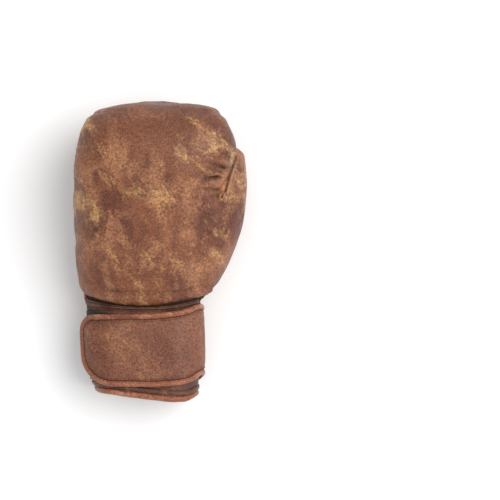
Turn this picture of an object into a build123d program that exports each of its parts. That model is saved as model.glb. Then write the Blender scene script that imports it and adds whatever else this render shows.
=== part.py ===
"""A boxing glove for the left hand, lying on its palm with the wrist strap closed.

Frame, in millimetres: +X towards the thumb, +Y from the cuff towards the knuckles, +Z up, away from the palm.
The origin is the middle of the footprint, on the surface that the glove lies on.

The padded fist is a loft of superellipse sections along Y. Every layer of it (leather, foam, lining) is the
same loft set in by a named depth, so layers never cross. The cuff is a straight rounded-rectangle tube, and
the strap runs round it at a fixed clearance.
"""

from build123d import *
from math import cos, pi, sin
import os

# ---------------------------------------------------------------- driving dimensions
LEATHER = 1.5            # thickness of the outer leather
LAYER_GAP = 0.3          # clearance between neighbouring layers and panels
FOAM_SKIN = 14.0         # thickness of the dense outer layer of the fist padding
LINING = 1.0             # thickness of the fabric lining

REAR_Y = -46.0           # where the padded fist meets the cuff
NOSE_Y = 153.0           # front of the knuckles
MOUTH_Y = -153.2         # open end of the cuff

CUFF_X, CUFF_Z = -16.0, 37.4          # centre line of the cuff
CUFF_WIDTH, CUFF_HEIGHT = 114.0, 64.0
CUFF_CORNER = 30.0

STRAP_Y0, STRAP_Y1 = -136.5, -64.5    # lower and upper edge of the strap
STRAP_IN, STRAP_OUT = 2.6, 5.4        # the strap's inner and outer face, outside the cuff leather
BINDING_WIDTH = 4.0
BINDING_PROUD = 0.6                   # how far the edge binding stands over the strap's faces
HOOK_TAPE = (1.5, 2.4)                # inner and outer face of the hook tape, outside the cuff leather
LOOP_TAPE = (0.1, 1.2)
JOINT_GAP = 0.5                       # gap between strap segments at a fold
FOLD_ANGLE = 45.0                     # the strap folds half way round the cuff's corners
TIP_X = -38.0                         # where the strap's end peels from its back section
STRAP_END_Z = 51.0       # how far the strap's end reaches down the little-finger side
LOOP_END_Z = 29.0        # and how far down the loop tape under it reaches

SLIT_X, SLIT_WIDTH, SLIT_END_Y = -19.0, 4.0, -18.0
LIP = 2.0                # width of the binding on each lip of the slit

SEAM_Z = 44.0            # height of the seam between the back and the palm side
ROLL_Y = 72.0            # the fist roll lies in front of this
BAND_Y = 58.0            # the finger band lies between this and the roll

# Sections of the padded fist: y, lowest x, highest x, lowest z, highest z.
FIST = [
    (REAR_Y, -79.0, 46.0, 4.2, 79.0),
    (-26.0, -81.0, 49.5, 7.0, 87.0),
    (-6.0, -83.5, 52.5, 12.0, 95.0),
    (14.0, -85.5, 56.0, 18.5, 103.0),
    (34.0, -86.1, 59.5, 23.5, 110.0),
    (54.0, -86.0, 64.5, 24.0, 116.5),
    (70.0, -86.0, 70.0, 15.0, 121.0),
    (84.0, -85.5, 74.5, 2.5, 124.0),
    (98.0, -84.5, 76.0, -0.3, 125.5),
    (112.0, -82.5, 74.5, -0.3, 124.5),
    (126.0, -78.0, 69.5, 3.0, 120.0),
    (139.0, -68.0, 59.5, 13.0, 110.0),
    (149.0, -49.0, 42.0, 30.0, 93.0),
    (NOSE_Y, -25.0, 19.0, 48.0, 75.0),
]
FIST_POWER = 2.7

# Sections of the hand compartment: y, lowest x, highest x, lowest z, highest z.
HAND = [
    (-160.0, -62.0, 30.0, 15.4, 59.4),
    (-120.0, -62.0, 30.0, 15.4, 59.4),
    (-80.0, -62.0, 30.0, 15.6, 59.6),
    (-40.0, -61.0, 28.5, 19.0, 61.5),
    (0.0, -58.5, 27.0, 28.0, 67.0),
    (40.0, -56.5, 27.0, 37.0, 72.5),
    (80.0, -54.0, 26.0, 41.5, 74.5),
    (112.0, -46.0, 20.0, 47.0, 70.0),
]
HAND_POWER = 3.2

# Sections of the thumb: y, centre x, centre z, half width, half height.
THUMB = [
    (-38.0, 47.0, 41.0, 4.0, 8.0),
    (-24.0, 49.5, 41.5, 11.5, 19.0),
    (-8.0, 52.5, 42.0, 17.0, 26.0),
    (10.0, 55.0, 43.0, 21.0, 30.0),
    (28.0, 57.5, 44.0, 24.0, 32.5),
    (46.0, 59.5, 45.0, 26.0, 33.0),
    (64.0, 61.5, 45.5, 25.5, 32.0),
    (80.0, 64.0, 46.0, 23.0, 29.0),
    (94.0, 66.5, 47.0, 19.0, 24.0),
    (104.0, 68.5, 47.5, 12.5, 17.0),
    (109.0, 69.5, 48.0, 5.0, 8.0),
]
THUMB_POWER = 2.2
THUMB_WALL = 11.0        # leather, foam and lining round the thumb pocket
POCKET = THUMB[2:7]      # the sections that the thumb pocket runs through
THUMB_CLEARANCE = 1.2    # between the thumb and the fist that it leans on

SECTION_POINTS = 12
FAR = 400.0              # larger than the glove


# ---------------------------------------------------------------- basic shapes
def superellipse(y, x_mid, z_mid, half_x, half_z, power):
    """A closed, smooth section across the glove at y."""
    points = []
    for i in range(SECTION_POINTS):
        angle = 2 * pi * (i + 0.5) / SECTION_POINTS
        c, s = cos(angle), sin(angle)
        reach = (abs(c) ** power + abs(s) ** power) ** (-1 / power)
        points.append(Vector(x_mid + half_x * reach * c, y, z_mid + half_z * reach * s))
    return Face(Wire(Edge.make_spline(points, periodic=True)))


def fist(inset):
    """The padded fist's outline, set in by a depth."""
    faces = []
    for y, x0, x1, z0, z1 in FIST:
        y_in = y + inset if y == REAR_Y else y - inset * max(0.0, (y - ROLL_Y) / (NOSE_Y - ROLL_Y))
        shrink_x = min(inset, 0.4 * (x1 - x0))
        shrink_z = min(inset, 0.4 * (z1 - z0))
        faces.append(superellipse(y_in, (x0 + x1) / 2, (z0 + z1) / 2,
                                  (x1 - x0) / 2 - shrink_x, (z1 - z0) / 2 - shrink_z, FIST_POWER))
    return loft(faces)


def hand(inset):
    """The hand compartment, from past the mouth to the fingertips, set in by a depth."""
    faces = []
    for y, x0, x1, z0, z1 in HAND:
        y_in = y - inset if y == HAND[-1][0] else y
        faces.append(superellipse(y_in, (x0 + x1) / 2, (z0 + z1) / 2,
                                  (x1 - x0) / 2 - inset, (z1 - z0) / 2 - inset, HAND_POWER))
    return loft(faces)


def thumb(inset):
    """The thumb's outline, set in by a depth, or out by a negative one."""
    rear, front = THUMB[0][0], THUMB[-1][0]
    faces = []
    for y, x, z, half_x, half_z in THUMB:
        y_in = rear + inset if y == rear else front - inset if y == front else y
        faces.append(superellipse(y_in, x, z, max(1.5, half_x - inset), max(2.0, half_z - inset), THUMB_POWER))
    return loft(faces)


def thumb_pocket(inset):
    """The space that the thumb itself fills."""
    faces = []
    for y, x, z, half_x, half_z in POCKET:
        faces.append(superellipse(y - inset if y == POCKET[-1][0] else y, x, z, half_x - THUMB_WALL - inset,
                                  half_z - THUMB_WALL - inset, THUMB_POWER))
    return loft(faces)


def cuff(outset, y0, y1):
    """The cuff's rounded rectangle, grown by outset, from y0 to y1."""
    outline = RectangleRounded(CUFF_WIDTH + 2 * outset, CUFF_HEIGHT + 2 * outset, CUFF_CORNER + outset)
    plane = Plane(origin=(CUFF_X, y1, CUFF_Z), x_dir=(1, 0, 0), z_dir=(0, -1, 0))
    return extrude(plane * outline, amount=y1 - y0)


def ring(inner, outer, y0, y1):
    """A layer round the cuff, between two distances from its leather."""
    return cuff(outer, y0, y1) - cuff(inner, y0 - 1, y1 + 1)


def block(x0, x1, y0, y1, z0, z1):
    """A box by its limits."""
    return Pos((x0 + x1) / 2, (y0 + y1) / 2, (z0 + z1) / 2) * Box(x1 - x0, y1 - y0, z1 - z0)


def footprint(points, z0, z1):
    """A straight-edged outline, seen from above, made solid from z0 to z1."""
    return extrude(Pos(0, 0, z0) * make_face(Polyline(*points, close=True)), amount=z1 - z0)


def corner_point(up, distance):
    """Where the strap folds on the thumb side: half way round a corner, at a distance from the leather."""
    turn = FOLD_ANGLE * pi / 180
    x = CUFF_X + CUFF_WIDTH / 2 - CUFF_CORNER + (CUFF_CORNER + distance) * cos(turn)
    z = CUFF_Z + up * (CUFF_HEIGHT / 2 - CUFF_CORNER + (CUFF_CORNER + distance) * sin(turn))
    return x, z


def wedge(up, gap):
    """Everything on the thumb side of the fold plane at the upper (up=1) or lower (up=-1) corner."""
    centre_x = CUFF_X + CUFF_WIDTH / 2 - CUFF_CORNER
    centre_z = CUFF_Z + up * (CUFF_HEIGHT / 2 - CUFF_CORNER)
    half = Pos(0, 0, -up * (FAR / 2 + gap / 2)) * Box(FAR, FAR, FAR)
    return Pos(centre_x, 0, centre_z) * Rot(0, -up * FOLD_ANGLE, 0) * half


# ---------------------------------------------------------------- shared layers and zones
SKIN = fist(0) - fist(LEATHER)
HAND_SPACE = hand(0)
THUMB_ROOM = thumb(-THUMB_CLEARANCE)
THUMB_PASSAGE = block(18, 52, -18, 10, 34, 54)     # from the hand compartment into the thumb pocket
FLOOR = block(-FAR, FAR, -FAR, FAR, 0, FAR)

BACK_ZONE = block(-FAR, FAR, REAR_Y - 1, FAR, SEAM_Z + LAYER_GAP / 2, FAR)
PALM_ZONE = block(-FAR, FAR, REAR_Y - 1, BAND_Y - LAYER_GAP, -FAR, SEAM_Z - LAYER_GAP / 2)
BAND_ZONE = block(-FAR, FAR, BAND_Y, ROLL_Y - LAYER_GAP, -FAR, SEAM_Z - LAYER_GAP / 2)
ROLL_ZONE = block(-FAR, FAR, ROLL_Y, FAR, -FAR, SEAM_Z - LAYER_GAP / 2)

GUSSET_LITTLE_X, GUSSET_THUMB_X, GUSSET_Y = -64.0, 40.0, 112.0
GUSSET_LITTLE_ZONE = block(-FAR, GUSSET_LITTLE_X, ROLL_Y, GUSSET_Y, -FAR, SEAM_Z)
GUSSET_THUMB_ZONE = block(GUSSET_THUMB_X, FAR, ROLL_Y, GUSSET_Y, -FAR, SEAM_Z)

# The mesh window in the palm, seen from above: below its curved edge the palm is leather.
MESH_EDGE = [(-95, 49), (-63, 33), (-33, 17), (-8, 8), (8, -1), (21, -22), (36, -46), (40, -52)]
MESH_ZONE = footprint(MESH_EDGE + [(95, -52), (95, BAND_Y), (-95, BAND_Y)], -FAR, SEAM_Z)
HEEL_ZONE = footprint([(x, y - 2 * LAYER_GAP) for x, y in MESH_EDGE] + [(40, -54), (-95, -54)], -FAR, SEAM_Z)

SLIT = block(SLIT_X - SLIT_WIDTH / 2, SLIT_X + SLIT_WIDTH / 2, MOUTH_Y - 20, SLIT_END_Y, -FAR, CUFF_Z)
SLIT_ROOM = block(SLIT_X - SLIT_WIDTH / 2 - LIP, SLIT_X + SLIT_WIDTH / 2 + LIP, MOUTH_Y - 20,
                  SLIT_END_Y + LIP, -FAR, CUFF_Z)
HEM = 5.0                # depth of the hem binding round the mouth
ROLL_EDGE_Y = -59.0      # lower edge of the padded roll across the wrist
HEM_WALL = 1.0           # thickness of the folded strip that makes it
FOLD_GAP = 0.25          # clearance inside that fold, and round the lining
BODY_Y0 = MOUTH_Y + HEM_WALL + 0.1     # the cuff's leather and foam end inside the hem binding


# ---------------------------------------------------------------- the padded fist
def back_leather():
    return (SKIN & BACK_ZONE) - cuff(LAYER_GAP, MOUTH_Y, REAR_Y + 2) - THUMB_ROOM


def knuckle_foam_outer():
    layer = fist(LEATHER + LAYER_GAP) - fist(FOAM_SKIN)
    return (layer & BACK_ZONE) - HAND_SPACE - THUMB_ROOM


def knuckle_foam_inner():
    layer = fist(FOAM_SKIN + LAYER_GAP) - HAND_SPACE
    return (layer & BACK_ZONE) - THUMB_ROOM - THUMB_PASSAGE


def fist_face_leather():
    zone = ROLL_ZONE - GUSSET_LITTLE_ZONE - GUSSET_THUMB_ZONE
    return (SKIN & zone & FLOOR) - THUMB_ROOM


def side_gusset_little():
    zone = GUSSET_LITTLE_ZONE & block(-FAR, GUSSET_LITTLE_X - LAYER_GAP, -FAR, GUSSET_Y - LAYER_GAP, 0.1,
                                      SEAM_Z - LAYER_GAP / 2)
    return SKIN & zone


def side_gusset_thumb():
    zone = GUSSET_THUMB_ZONE & block(GUSSET_THUMB_X + LAYER_GAP, FAR, -FAR, GUSSET_Y - LAYER_GAP, 0.1,
                                     SEAM_Z - LAYER_GAP / 2)
    return (SKIN & zone) - THUMB_ROOM


def fist_roll_foam():
    return (fist(LEATHER + LAYER_GAP) & ROLL_ZONE) - HAND_SPACE - THUMB_ROOM


def finger_band_leather():
    return (SKIN & BAND_ZONE) - THUMB_ROOM


def grip_bar_foam():
    return (fist(LEATHER + LAYER_GAP) & BAND_ZONE) - HAND_SPACE - THUMB_ROOM


# ---------------------------------------------------------------- the palm and the cuff
def palm_mesh():
    past_wrist = block(-FAR, FAR, REAR_Y + LEATHER, FAR, -FAR, FAR)
    return (SKIN & PALM_ZONE & MESH_ZONE & past_wrist) - THUMB_ROOM


def palm_leather():
    """The heel of the palm and the palm half of the cuff, one panel with the slit cut into it."""
    heel = (SKIN & PALM_ZONE & HEEL_ZONE) - cuff(-LEATHER, MOUTH_Y, REAR_Y + 2) - THUMB_ROOM
    low_half = block(-FAR, FAR, -FAR, FAR, -FAR, CUFF_Z - LAYER_GAP / 2)
    wrist = ring(-LEATHER, 0, BODY_Y0, REAR_Y + LEATHER / 2) & low_half
    return heel + wrist - SLIT_ROOM


def palm_foam():
    """The thin pad behind the mesh and the heel of the palm."""
    pad = (fist(LEATHER + LAYER_GAP) & PALM_ZONE) - HAND_SPACE - THUMB_ROOM
    return pad - SLIT_ROOM - THUMB_PASSAGE


def cuff_foam(z_side):
    """Padding of the cuff's back half (z_side=1) or palm half (z_side=-1)."""
    depth = LEATHER + LAYER_GAP
    tube = cuff(-depth, BODY_Y0, REAR_Y - LAYER_GAP) - HAND_SPACE
    gap = LAYER_GAP / 2
    low, high = (CUFF_Z + gap, FAR) if z_side > 0 else (-FAR, CUFF_Z - gap)
    return (tube & block(-FAR, FAR, -FAR, FAR, low, high)) - SLIT_ROOM


def cuff_back_leather():
    high_half = block(-FAR, FAR, -FAR, FAR, CUFF_Z + LAYER_GAP / 2, FAR)
    return ring(-LEATHER, 0, BODY_Y0, REAR_Y - LAYER_GAP) & high_half


def cuff_top_roll():
    """A padded roll of leather across the back of the wrist, between the fist padding and the strap."""
    high_half = block(-FAR, FAR, -FAR, FAR, CUFF_Z + 2, FAR)
    return (ring(LAYER_GAP, 4.5, ROLL_EDGE_Y, REAR_Y - LAYER_GAP) & high_half) - THUMB_ROOM


def loop_tape():
    """The soft half of the closure, sewn round the back and the little-finger side of the cuff."""
    zone = block(-FAR, -8, -FAR, FAR, LOOP_END_Z, FAR)
    return ring(*LOOP_TAPE, STRAP_Y0 + 6, ROLL_EDGE_Y - LAYER_GAP) & zone


def cuff_hem_binding():
    """A folded strip round the mouth, over the ends of the leather and the foam."""
    strip = cuff(HEM_WALL + FOLD_GAP, MOUTH_Y, MOUTH_Y + HEM) - hand(HEM_WALL + FOLD_GAP)
    channel = cuff(FOLD_GAP, MOUTH_Y + HEM_WALL, MOUTH_Y + HEM + 1) - hand(FOLD_GAP)
    return strip - channel - SLIT_ROOM


def slit_binding():
    """The folded strip along both lips of the slit and round its end."""
    strip = (SLIT_ROOM - SLIT) & block(-FAR, FAR, MOUTH_Y, FAR, -FAR, CUFF_Z)
    wall = cuff(0, MOUTH_Y, REAR_Y) + (fist(0) & block(-FAR, FAR, REAR_Y, 0, -FAR, CUFF_Z))
    return (strip & wall) - HAND_SPACE


def slit_facing():
    """A leather facing sewn over the palm around the head of the slit."""
    arch = block(SLIT_X - 17, SLIT_X + 16, REAR_Y + 2, SLIT_END_Y + 12, -5, 20)
    arch = arch - block(SLIT_X - 6, SLIT_X + 6, -FAR, SLIT_END_Y + 4, -FAR, FAR)
    return (fist(-1.2) & arch) - fist(-0.1)


def hand_lining():
    sock = hand(FOLD_GAP) - hand(FOLD_GAP + LINING)
    sock = sock & block(-FAR, FAR, MOUTH_Y + HEM + LAYER_GAP, FAR, -FAR, FAR)
    return sock - SLIT_ROOM - THUMB_PASSAGE


# ---------------------------------------------------------------- the thumb
THUMB_INNER_SEAM = [(20, -60), (47, -40), (52, 0), (55, 45), (57, 80), (64, 112), (20, 112)]
THUMB_INNER_ZONE = footprint(THUMB_INNER_SEAM, -FAR, THUMB[5][2])


def thumb_inner_leather():
    return ((thumb(0) - thumb(LEATHER)) & THUMB_INNER_ZONE) - THUMB_PASSAGE


def thumb_outer_leather():
    grown = footprint([(x + LAYER_GAP if x > 20 else x - 20, y) for x, y in THUMB_INNER_SEAM], -FAR,
                      THUMB[5][2] + LAYER_GAP)
    return (thumb(0) - thumb(LEATHER)) - grown - THUMB_PASSAGE


def thumb_foam():
    return thumb(LEATHER + LAYER_GAP) - thumb_pocket(0) - THUMB_PASSAGE


def thumb_lining():
    return thumb_pocket(FOLD_GAP) - thumb_pocket(FOLD_GAP + LINING) - THUMB_PASSAGE


# The piped edge of the palm beside the thumb, seen from above: its edge away from the thumb.
PIPING_EDGE = [(37, -44), (30, -20), (27, 4), (28, 26), (33, 56)]


def palm_piping():
    """The piped strip along the palm's edge, beside the thumb."""
    band = footprint(PIPING_EDGE + [(x + 7, y) for x, y in reversed(PIPING_EDGE)], 0, SEAM_Z - 8)
    return (fist(-1.6) & band) - fist(-0.1) - THUMB_ROOM


def thumb_tack():
    """The folded tab of leather at the head of the crease between the thumb and the fist padding."""
    return (fist(-2.6) & block(50, 75, 50, 59, 72, 88)) - fist(-0.1) - THUMB_ROOM


# ---------------------------------------------------------------- the strap
FOLD_LOW, FOLD_HIGH = wedge(-1, JOINT_GAP), wedge(1, JOINT_GAP)
FOLD_LOW_WIDE, FOLD_HIGH_WIDE = wedge(-1, -JOINT_GAP), wedge(1, -JOINT_GAP)
THUMB_SIDE = FOLD_LOW & FOLD_HIGH
ANCHOR_ZONE = block(SLIT_X + 5, FAR, -FAR, FAR, -FAR, CUFF_Z) - FOLD_LOW_WIDE
BACK_ZONE_STRAP = block(TIP_X + JOINT_GAP / 2, FAR, -FAR, FAR, CUFF_Z, FAR) - FOLD_HIGH_WIDE
TIP_ZONE = block(-FAR, TIP_X - JOINT_GAP / 2, -FAR, FAR, 0, FAR)
STRAP_ZONES = {"anchor": ANCHOR_ZONE, "wrap": THUMB_SIDE, "back": BACK_ZONE_STRAP, "tip": TIP_ZONE}

CORNER_LOW, CORNER_HIGH = 23.5, 17.0      # the strap's end is rounder at its lower corner


def strap_outline(inset):
    """The strap seen from the little-finger side, with its rounded end, set in by a depth."""
    y0, y1, z0 = STRAP_Y0 + inset, STRAP_Y1 - inset, STRAP_END_Z + inset
    low, high = CORNER_LOW - inset, CORNER_HIGH - inset
    edges = [
        Line((y0, FAR), (y0, z0 + low)),
        CenterArc((y0 + low, z0 + low), low, 180, 90),
        Line((y0 + low, z0), (y1 - high, z0)),
        CenterArc((y1 - high, z0 + high), high, 270, 90),
        Line((y1, z0 + high), (y1, FAR)),
        Line((y1, FAR), (y0, FAR)),
    ]
    side_on = Plane(origin=(-FAR / 2, 0, 0), x_dir=(0, 1, 0), z_dir=(1, 0, 0))
    return extrude(side_on * make_face(edges), amount=FAR)


def strap_band(inset):
    """The strap away from its end: a straight band, set in by a depth."""
    return block(-FAR, FAR, STRAP_Y0 + inset, STRAP_Y1 - inset, -FAR, FAR)


def strap_shape(zone, inset):
    return strap_outline(inset) if zone == "tip" else strap_band(inset)


MID = (STRAP_IN + STRAP_OUT) / 2


def strap_layer(inner, outer):
    """A layer of the strap all the way round the cuff, between two distances from the cuff's leather."""
    return ring(inner, outer, STRAP_Y0 - 1, STRAP_Y1 + 1)


def strap_leather(zone):
    return strap_layer(MID + 0.05, STRAP_OUT) & strap_shape(zone, 1.0) & STRAP_ZONES[zone]


def strap_backing(zone):
    return strap_layer(STRAP_IN, MID - 0.05) & strap_shape(zone, 1.0) & STRAP_ZONES[zone]


def strap_binding(zone):
    """A folded strip over the strap's edge, with a channel that the strap's layers fill."""
    layer = strap_layer(STRAP_IN - BINDING_PROUD, STRAP_OUT + BINDING_PROUD)
    if zone == "anchor":
        layer = layer & FLOOR
    channel = ring(STRAP_IN - 0.1, STRAP_OUT + 0.1, STRAP_Y0 - 2, STRAP_Y1 + 2) & strap_shape(zone, 0.9)
    edge = strap_shape(zone, 0) - strap_shape(zone, BINDING_WIDTH)
    return (layer & edge & STRAP_ZONES[zone]) - channel


def strap_hook_tape(zone):
    area = STRAP_ZONES[zone] & block(-FAR, -12, -FAR, FAR, 0, FAR) & strap_shape(zone, BINDING_WIDTH + 3)
    return strap_layer(*HOOK_TAPE) & area


# ---------------------------------------------------------------- write one STEP per node
NODES = {
    "back_leather": back_leather,
    "knuckle_foam_outer": knuckle_foam_outer,
    "knuckle_foam_inner": knuckle_foam_inner,
    "fist_face_leather": fist_face_leather,
    "fist_side_gusset_little": side_gusset_little,
    "fist_side_gusset_thumb": side_gusset_thumb,
    "fist_roll_foam": fist_roll_foam,
    "finger_band_leather": finger_band_leather,
    "grip_bar_foam": grip_bar_foam,
    "palm_mesh": palm_mesh,
    "palm_leather": palm_leather,
    "palm_foam": palm_foam,
    "cuff_palm_foam": lambda: cuff_foam(-1),
    "cuff_back_foam": lambda: cuff_foam(1),
    "cuff_back_leather": cuff_back_leather,
    "cuff_top_roll": cuff_top_roll,
    "loop_tape": loop_tape,
    "cuff_hem_binding": cuff_hem_binding,
    "slit_binding": slit_binding,
    "slit_facing": slit_facing,
    "hand_lining": hand_lining,
    "thumb_inner_leather": thumb_inner_leather,
    "thumb_outer_leather": thumb_outer_leather,
    "thumb_foam": thumb_foam,
    "thumb_lining": thumb_lining,
    "palm_piping": palm_piping,
    "thumb_tack": thumb_tack,
}
for segment in STRAP_ZONES:
    NODES[f"strap_{segment}_leather"] = lambda zone=segment: strap_leather(zone)
    NODES[f"strap_{segment}_backing"] = lambda zone=segment: strap_backing(zone)
    NODES[f"strap_{segment}_binding"] = lambda zone=segment: strap_binding(zone)
for segment in ("back", "tip"):
    NODES[f"strap_{segment}_hook_tape"] = lambda zone=segment: strap_hook_tape(zone)

os.makedirs("parts", exist_ok=True)
for name, make in NODES.items():
    shape = make()
    solids = sorted(shape.solids(), key=lambda s: -s.volume)
    kept = [s for s in solids if s.volume > 1.0]
    print(name, [round(s.volume, 1) for s in solids])
    export_step(Compound(kept) if len(kept) > 1 else kept[0], f"parts/{name}.step")

for name, up in (("lower fold", -1), ("upper fold", 1)):
    print(name, corner_point(up, STRAP_OUT + BINDING_PROUD + 0.2))
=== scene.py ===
"""How the boxing glove looks: worn leather over padding, a mesh palm, a slit cuff and a wrist strap.

Lengths in this file are in millimetres until a mesh is made. The padded body is one implicit surface,
inflated as cloth between its seams and then cut into panels along them. The cuff's trim and the strap are
laid out flat, as (distance round the cuff, distance along it, height over the leather), and wrapped on.
Materials, camera and lights are in metres.
"""
import math

import bpy
import numpy as np
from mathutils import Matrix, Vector, kdtree


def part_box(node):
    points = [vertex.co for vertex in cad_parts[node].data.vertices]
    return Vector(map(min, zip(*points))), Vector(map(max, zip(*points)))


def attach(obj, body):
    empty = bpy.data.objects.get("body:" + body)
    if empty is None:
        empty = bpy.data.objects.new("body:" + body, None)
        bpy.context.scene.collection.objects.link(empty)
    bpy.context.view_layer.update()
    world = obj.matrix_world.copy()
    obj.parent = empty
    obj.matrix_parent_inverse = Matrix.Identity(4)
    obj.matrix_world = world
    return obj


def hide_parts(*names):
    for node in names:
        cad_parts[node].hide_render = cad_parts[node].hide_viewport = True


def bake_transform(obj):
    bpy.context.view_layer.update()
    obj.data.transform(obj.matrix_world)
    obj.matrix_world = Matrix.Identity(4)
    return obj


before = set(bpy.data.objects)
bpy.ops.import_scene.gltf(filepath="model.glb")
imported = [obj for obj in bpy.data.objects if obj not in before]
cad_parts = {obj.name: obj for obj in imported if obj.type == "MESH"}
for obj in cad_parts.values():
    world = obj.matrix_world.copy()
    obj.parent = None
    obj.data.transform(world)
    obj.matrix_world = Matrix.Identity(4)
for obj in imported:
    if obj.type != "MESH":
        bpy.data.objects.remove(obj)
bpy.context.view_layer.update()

CELL = 2.9
CLOTH_FRAMES = 20
FLOOR_GAP = 0.02


# ---- small numeric helpers
def smooth(t):
    """0 below 0, 1 above 1, and an even ramp between."""
    t = np.clip(t, 0.0, 1.0)
    return t * t * (3 - 2 * t)


def spline(xs, values, x):
    """A smooth curve through the given values, level beyond its ends."""
    xs, values = np.asarray(xs, float), np.asarray(values, float)
    slopes = np.gradient(values, xs)
    x = np.clip(x, xs[0], xs[-1])
    i = np.clip(np.searchsorted(xs, x) - 1, 0, len(xs) - 2)
    h = xs[i + 1] - xs[i]
    t = (x - xs[i]) / h
    return ((1 + 2 * t) * (1 - t) ** 2 * values[i] + t * (1 - t) ** 2 * h * slopes[i]
            + t * t * (3 - 2 * t) * values[i + 1] + t * t * (t - 1) * h * slopes[i + 1])


def soft_min(a, b, k):
    """The lesser of two fields, rounded over a width of k."""
    h = np.maximum(k - np.abs(a - b), 0) / k
    return np.minimum(a, b) - h * h * k * 0.25


def soft_max(a, b, k):
    return -soft_min(-a, -b, k)


def unit(v):
    return v / np.maximum(np.linalg.norm(v, axis=-1, keepdims=True), 1e-9)


def bell(x, width):
    """1 at 0, falling away to about a third at the width."""
    return np.exp(-(x / width) ** 2)


def low_noise(p, scale, seed):
    """Gentle waves with no direction, between about -1 and 1."""
    local = np.random.default_rng(seed)
    total = np.zeros(len(p))
    for _ in range(7):
        direction = unit(local.normal(size=3)) * (2 * math.pi / scale) * local.uniform(0.6, 1.5)
        total += np.sin(p @ direction + local.uniform(0, 2 * math.pi))
    return total / 3.2


# ---- shapes, in millimetres
CUFF_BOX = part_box("cuff_back_leather")
CUFF_X = (CUFF_BOX[0][0] + CUFF_BOX[1][0]) * 500
HALF_W = (CUFF_BOX[1][0] - CUFF_BOX[0][0]) * 500
HALF_H, CORNER = 32.0, 30.0
CUFF_Z = CUFF_BOX[1][2] * 1000 - HALF_H
MOUTH_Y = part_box("cuff_hem_binding")[0][1] * 1000
SLIT_X, SLIT_HALF, SLIT_END = -19.0, 2.0, -18.0


def centred(table):
    """Rows of y, low x, high x, low z, high z as rows of y, centre x, centre z, half width, half height."""
    y, x0, x1, z0, z1 = np.array(table, float).T
    return np.column_stack([y, (x0 + x1) / 2, (z0 + z1) / 2, (x1 - x0) / 2, (z1 - z0) / 2])


# The padded fist without its roll: y, lowest x, highest x, palm level, highest z.
BODY = centred([
    (-62, -77.5, 37.5, 9, 73.5), (-46, -80, 42.5, 4.6, 80.5), (-26, -83.5, 48, 7.5, 88),
    (-6, -86, 52.5, 12.5, 95),
    (14, -86.5, 55, 18.5, 103), (34, -86.5, 57, 24, 110), (54, -86, 60, 27, 116),
    (70, -85.5, 65, 28, 120.5), (84, -85, 72, 30, 123.5), (98, -83, 77.3, 33, 125),
    (112, -80.5, 76.5, 37, 123.5), (126, -75.5, 71, 42, 118.5), (138, -66.5, 62, 49, 108.5),
    (146.8, -45.5, 45, 57, 93), (149.8, -18, 18, 66, 77)])
# The thumb: y, centre x, centre z, half width, half height.
THUMB = np.array([
    (-38, 47, 41, 4, 8), (-24, 49.5, 41.5, 11.5, 19), (-8, 52.5, 42, 17, 26),
    (10, 55, 43, 22.5, 30), (28, 57.5, 44, 25.6, 32.5), (46, 59.5, 45, 27, 33),
    (64, 61.5, 45.5, 26, 32), (80, 64, 46, 23.5, 29), (92, 66.5, 47, 20.8, 25),
    (102, 69, 47.5, 16, 18), (108, 70.5, 48, 7.5, 9)])


def lofted(p, table, power):
    """A near-distance to a body of superellipse sections along Y."""
    x, y, z = p.T
    ys, mid_x, mid_z, half_x, half_z = table.T
    a, b = spline(ys, half_x, y), spline(ys, half_z, y)
    u = np.abs(x - spline(ys, mid_x, y)) / a
    w = np.abs(z - spline(ys, mid_z, y)) / b
    d = ((u ** power + w ** power) ** (1 / power) - 1) * np.minimum(a, b)
    past = np.maximum(np.maximum(y - ys[-1], ys[0] - y), 0)
    return np.where(past > 0, np.hypot(np.maximum(d, 0), past) + np.minimum(d, 0) * 0.2, d)


def lip_y(x):
    """The rear edge of the back padding, a shallow curve across the wrist."""
    return -55.5 + 0.0024 * (x + 14) ** 2


def back_body(p):
    x, y, z = p.T
    rear = lip_y(x) - 34 * smooth((42 - z) / 14)
    return soft_max(lofted(p, BODY, 2.7), rear - y, 11)


def fist_roll(p):
    x, y, z = np.abs((p - [-9.0, 110.0, 37.0]) / [66.0, 41.5, 37.6]).T
    d = ((x ** 2.5 + y ** 2.5 + z ** 2.5) ** 0.4 - 1) * 37
    return soft_max(d, 0.4 - p[:, 2], 3)


def thumb_body(p):
    return lofted(p, THUMB, 2.2)


def cuff_shift(x, y):
    """How far the cuff stands further in or out sideways than the plain tube, along its length."""
    left = spline([-156, -147, -141, -134, -125, -100, -60, -44],
                  [7.5, 7.5, 6.0, 2.5, 0.5, -1.2, -2.5, -2.5], y)
    right = spline([-156, -148, -140, -132, -70, -56, -44], [-5.0, -4.0, -3.0, -2.0, -1.8, -2.5, -3.0], y)
    side = np.clip((x - CUFF_X) / HALF_W, -1, 1)
    return np.where(side < 0, -side * left, side * right)


def cuff_tube(p):
    x, y, z = p.T
    qx = np.abs(x - CUFF_X - cuff_shift(x, y)) - (HALF_W - CORNER)
    qz = np.abs(z - CUFF_Z) - (HALF_H - CORNER)
    d = np.hypot(np.maximum(qx, 0), np.maximum(qz, 0)) + np.minimum(np.maximum(qx, qz), 0) - CORNER
    return soft_max(np.maximum(d, MOUTH_Y - 4 - y), y - 12, 14)


def hollow(p, centre, radii):
    d = np.linalg.norm((p - centre) / radii, axis=1)
    return (1 - d) * min(radii)


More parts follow.
